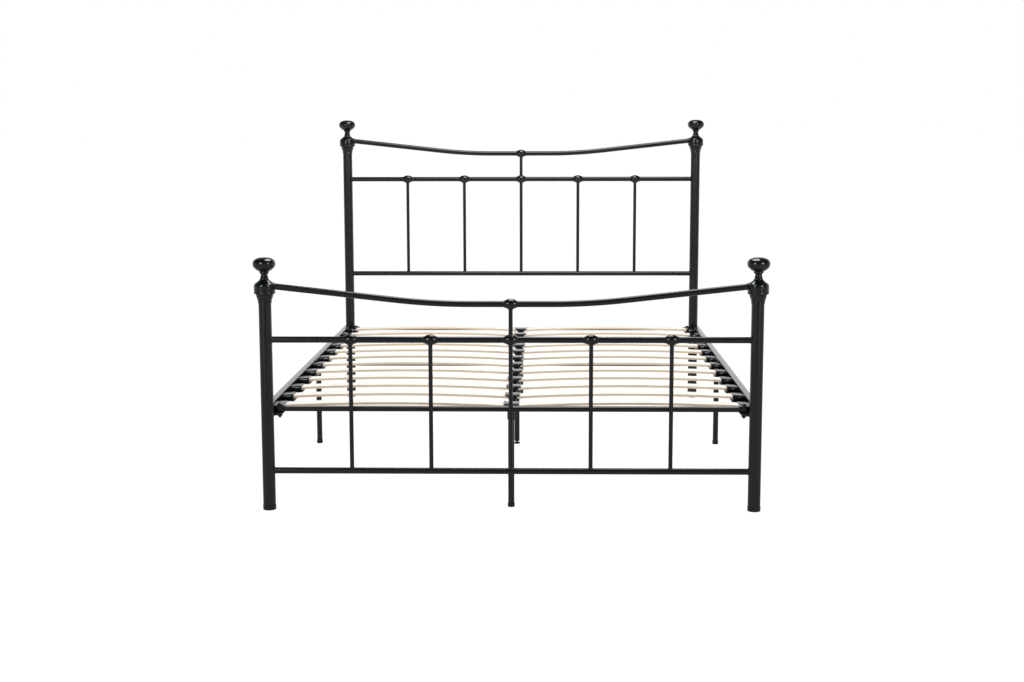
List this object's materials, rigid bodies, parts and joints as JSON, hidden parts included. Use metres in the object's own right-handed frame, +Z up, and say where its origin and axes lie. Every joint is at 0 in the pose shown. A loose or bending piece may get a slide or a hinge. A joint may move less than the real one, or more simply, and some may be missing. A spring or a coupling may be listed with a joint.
{
  "type": "metal bed frame",
  "caption": "Double bed frame in black metal: tubular footboard and headboard with ball finials, an angle-iron base on centre legs, and crowned wooden slats in holders.",
  "frame": {"origin": "centre of the bed's outline on the floor", "axes": "+Z up, +Y from the footboard to the headboard, +X to the right of someone standing at the foot"},
  "size_m": [1.528, 2.038, 1.174],
  "materials": {
    "frame_paint": "satin black powder coat",
    "casting_paint": "gloss black paint over a casting",
    "birch": "clear-sealed birch plywood",
    "black_plastic": "moulded black plastic"
  },
  "bodies": {
    "frame": {"footboard_post_left": "frame_paint", "footboard_finial_left": "casting_paint", "footboard_post_right": "frame_paint", "footboard_finial_right": "casting_paint", "footboard_top_rail": "frame_paint", "footboard_middle_rail": "frame_paint", "footboard_bottom_rail": "frame_paint", "footboard_spindle_1": "frame_paint", "footboard_spindle_2": "frame_paint", "footboard_spindle_3": "frame_paint", "footboard_spindle_4": "frame_paint", "footboard_spindle_5": "frame_paint", "headboard_post_left": "frame_paint", "headboard_finial_left": "casting_paint", "headboard_post_right": "frame_paint", "headboard_finial_right": "casting_paint", "headboard_top_rail": "frame_paint", "headboard_middle_rail": "frame_paint", "headboard_bottom_rail": "frame_paint", "headboard_spindle_1": "frame_paint", "headboard_spindle_2": "frame_paint", "headboard_spindle_3": "frame_paint", "headboard_spindle_4": "frame_paint", "headboard_spindle_5": "frame_paint", "side_rail_left_foot": "frame_paint", "side_rail_left_head": "frame_paint", "side_rail_right_foot": "frame_paint", "side_rail_right_head": "frame_paint", "centre_rail": "frame_paint", "foot_end_bar": "frame_paint", "head_end_bar": "frame_paint", "mid_support_frame": "frame_paint", "foot_centre_leg": "frame_paint", "mid_centre_leg": "frame_paint", "head_centre_leg": "frame_paint", "slat_left_01": "birch", "slat_left_02": "birch", "slat_left_03": "birch", "slat_left_04": "birch", "slat_left_05": "birch", "slat_left_06": "birch", "slat_left_07": "birch", "slat_left_08": "birch", "slat_left_09": "birch", "slat_left_10": "birch", "slat_left_11": "birch", "slat_left_12": "birch", "slat_right_01": "birch", "slat_right_02": "birch", "slat_right_03": "birch", "slat_right_04": "birch", "slat_right_05": "birch", "slat_right_06": "birch", "slat_right_07": "birch", "slat_right_08": "birch", "slat_right_09": "birch", "slat_right_10": "birch", "slat_right_11": "birch", "slat_right_12": "birch"},
    "levelling_foot": {"levelling_foot": "black_plastic"}
  },
  "joints": [
    {"name": "levelling_foot_screw", "type": "slide", "parent": "frame", "child": "levelling_foot", "axis": [0, 0, 1], "range_m": [-0.01, 0.003]}
  ]
}
